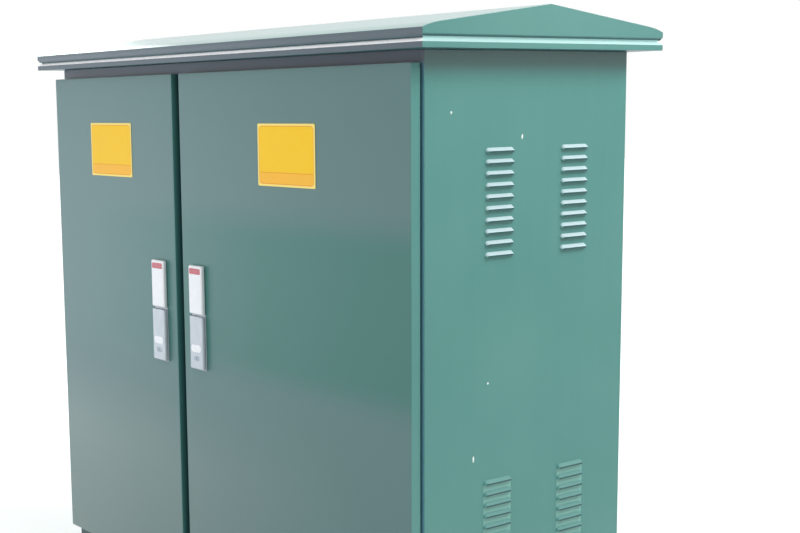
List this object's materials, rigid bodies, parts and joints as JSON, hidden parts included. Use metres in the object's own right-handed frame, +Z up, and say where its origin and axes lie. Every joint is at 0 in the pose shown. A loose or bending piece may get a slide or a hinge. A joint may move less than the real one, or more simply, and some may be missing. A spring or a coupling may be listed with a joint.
{
  "type": "outdoor power transformer cabinet",
  "caption": "Free-standing sheet-steel transformer cabinet with a low gable roof, unequal hinged overlay doors with swing handles, and louvred end walls on a channel plinth.",
  "frame": {"origin": "centre of the roof's outline on the ground plane, under the plinth", "axes": "+X along the front towards the right-hand end, -Y out of the doors, +Z up"},
  "size_m": [2.164, 0.944, 2.0013],
  "materials": {
    "panel_paint": "satin powder coat, teal green",
    "door_paint": "satin powder coat, greyed teal green",
    "roof_paint": "satin powder coat, teal green",
    "frame_paint": "satin powder coat, dark green",
    "galvanised_plate": "galvanised",
    "zinc": "zinc plated",
    "lock_steel": "bright satin",
    "sign_yellow": "enamel, blank"
  },
  "bodies": {
    "cabinet": {"base_frame": "frame_paint", "floor_plate": "galvanised_plate", "bottom_frame": "frame_paint", "top_frame": "frame_paint", "post_front_left": "frame_paint", "post_front_right": "frame_paint", "post_rear_left": "frame_paint", "post_rear_right": "frame_paint", "front_mullion": "frame_paint", "rear_mullion": "frame_paint", "side_panel_left": "panel_paint", "side_panel_right": "panel_paint", "rear_panel_left": "panel_paint", "rear_panel_right": "panel_paint", "roof_shell": "roof_paint", "roof_truss_left": "frame_paint", "roof_truss_centre": "frame_paint", "roof_truss_right": "frame_paint", "roof_ridge_rail": "frame_paint", "hinge_bracket_left_1": "zinc", "hinge_bracket_left_2": "zinc", "hinge_bracket_left_3": "zinc", "hinge_bracket_right_1": "zinc", "hinge_bracket_right_2": "zinc", "hinge_bracket_right_3": "zinc"},
    "door_left": {"door_left_pan": "door_paint", "door_left_stiffener": "door_paint", "door_left_hinge_1": "zinc", "door_left_hinge_2": "zinc", "door_left_hinge_3": "zinc", "door_left_lock_plate": "lock_steel", "door_left_lock_rod": "zinc", "door_left_sign_plate": "sign_yellow"},
    "handle_left": {"handle_left": "lock_steel"},
    "door_right": {"door_right_pan": "door_paint", "door_right_stiffener": "door_paint", "door_right_hinge_1": "zinc", "door_right_hinge_2": "zinc", "door_right_hinge_3": "zinc", "door_right_lock_plate": "lock_steel", "door_right_lock_rod": "zinc", "door_right_sign_plate": "sign_yellow"},
    "handle_right": {"handle_right": "lock_steel"}
  },
  "joints": [
    {"name": "door_left_hinge", "type": "hinge", "parent": "cabinet", "child": "door_left", "pos_m": [-0.99, -0.4255, 0.9845], "axis": [0, 0, -1], "range_deg": [0, 110]},
    {"name": "door_right_hinge", "type": "hinge", "parent": "cabinet", "child": "door_right", "pos_m": [0.99, -0.4255, 0.9845], "axis": [0, 0, 1], "range_deg": [0, 110]},
    {"name": "handle_left_lift", "type": "hinge", "parent": "door_left", "child": "handle_left", "pos_m": [-0.282, -0.4505, 1.05182], "axis": [-1, 0, 0], "range_deg": [0, 45]},
    {"name": "handle_right_lift", "type": "hinge", "parent": "door_right", "child": "handle_right", "pos_m": [-0.047, -0.4505, 1.05182], "axis": [-1, 0, 0], "range_deg": [0, 45]}
  ]
}
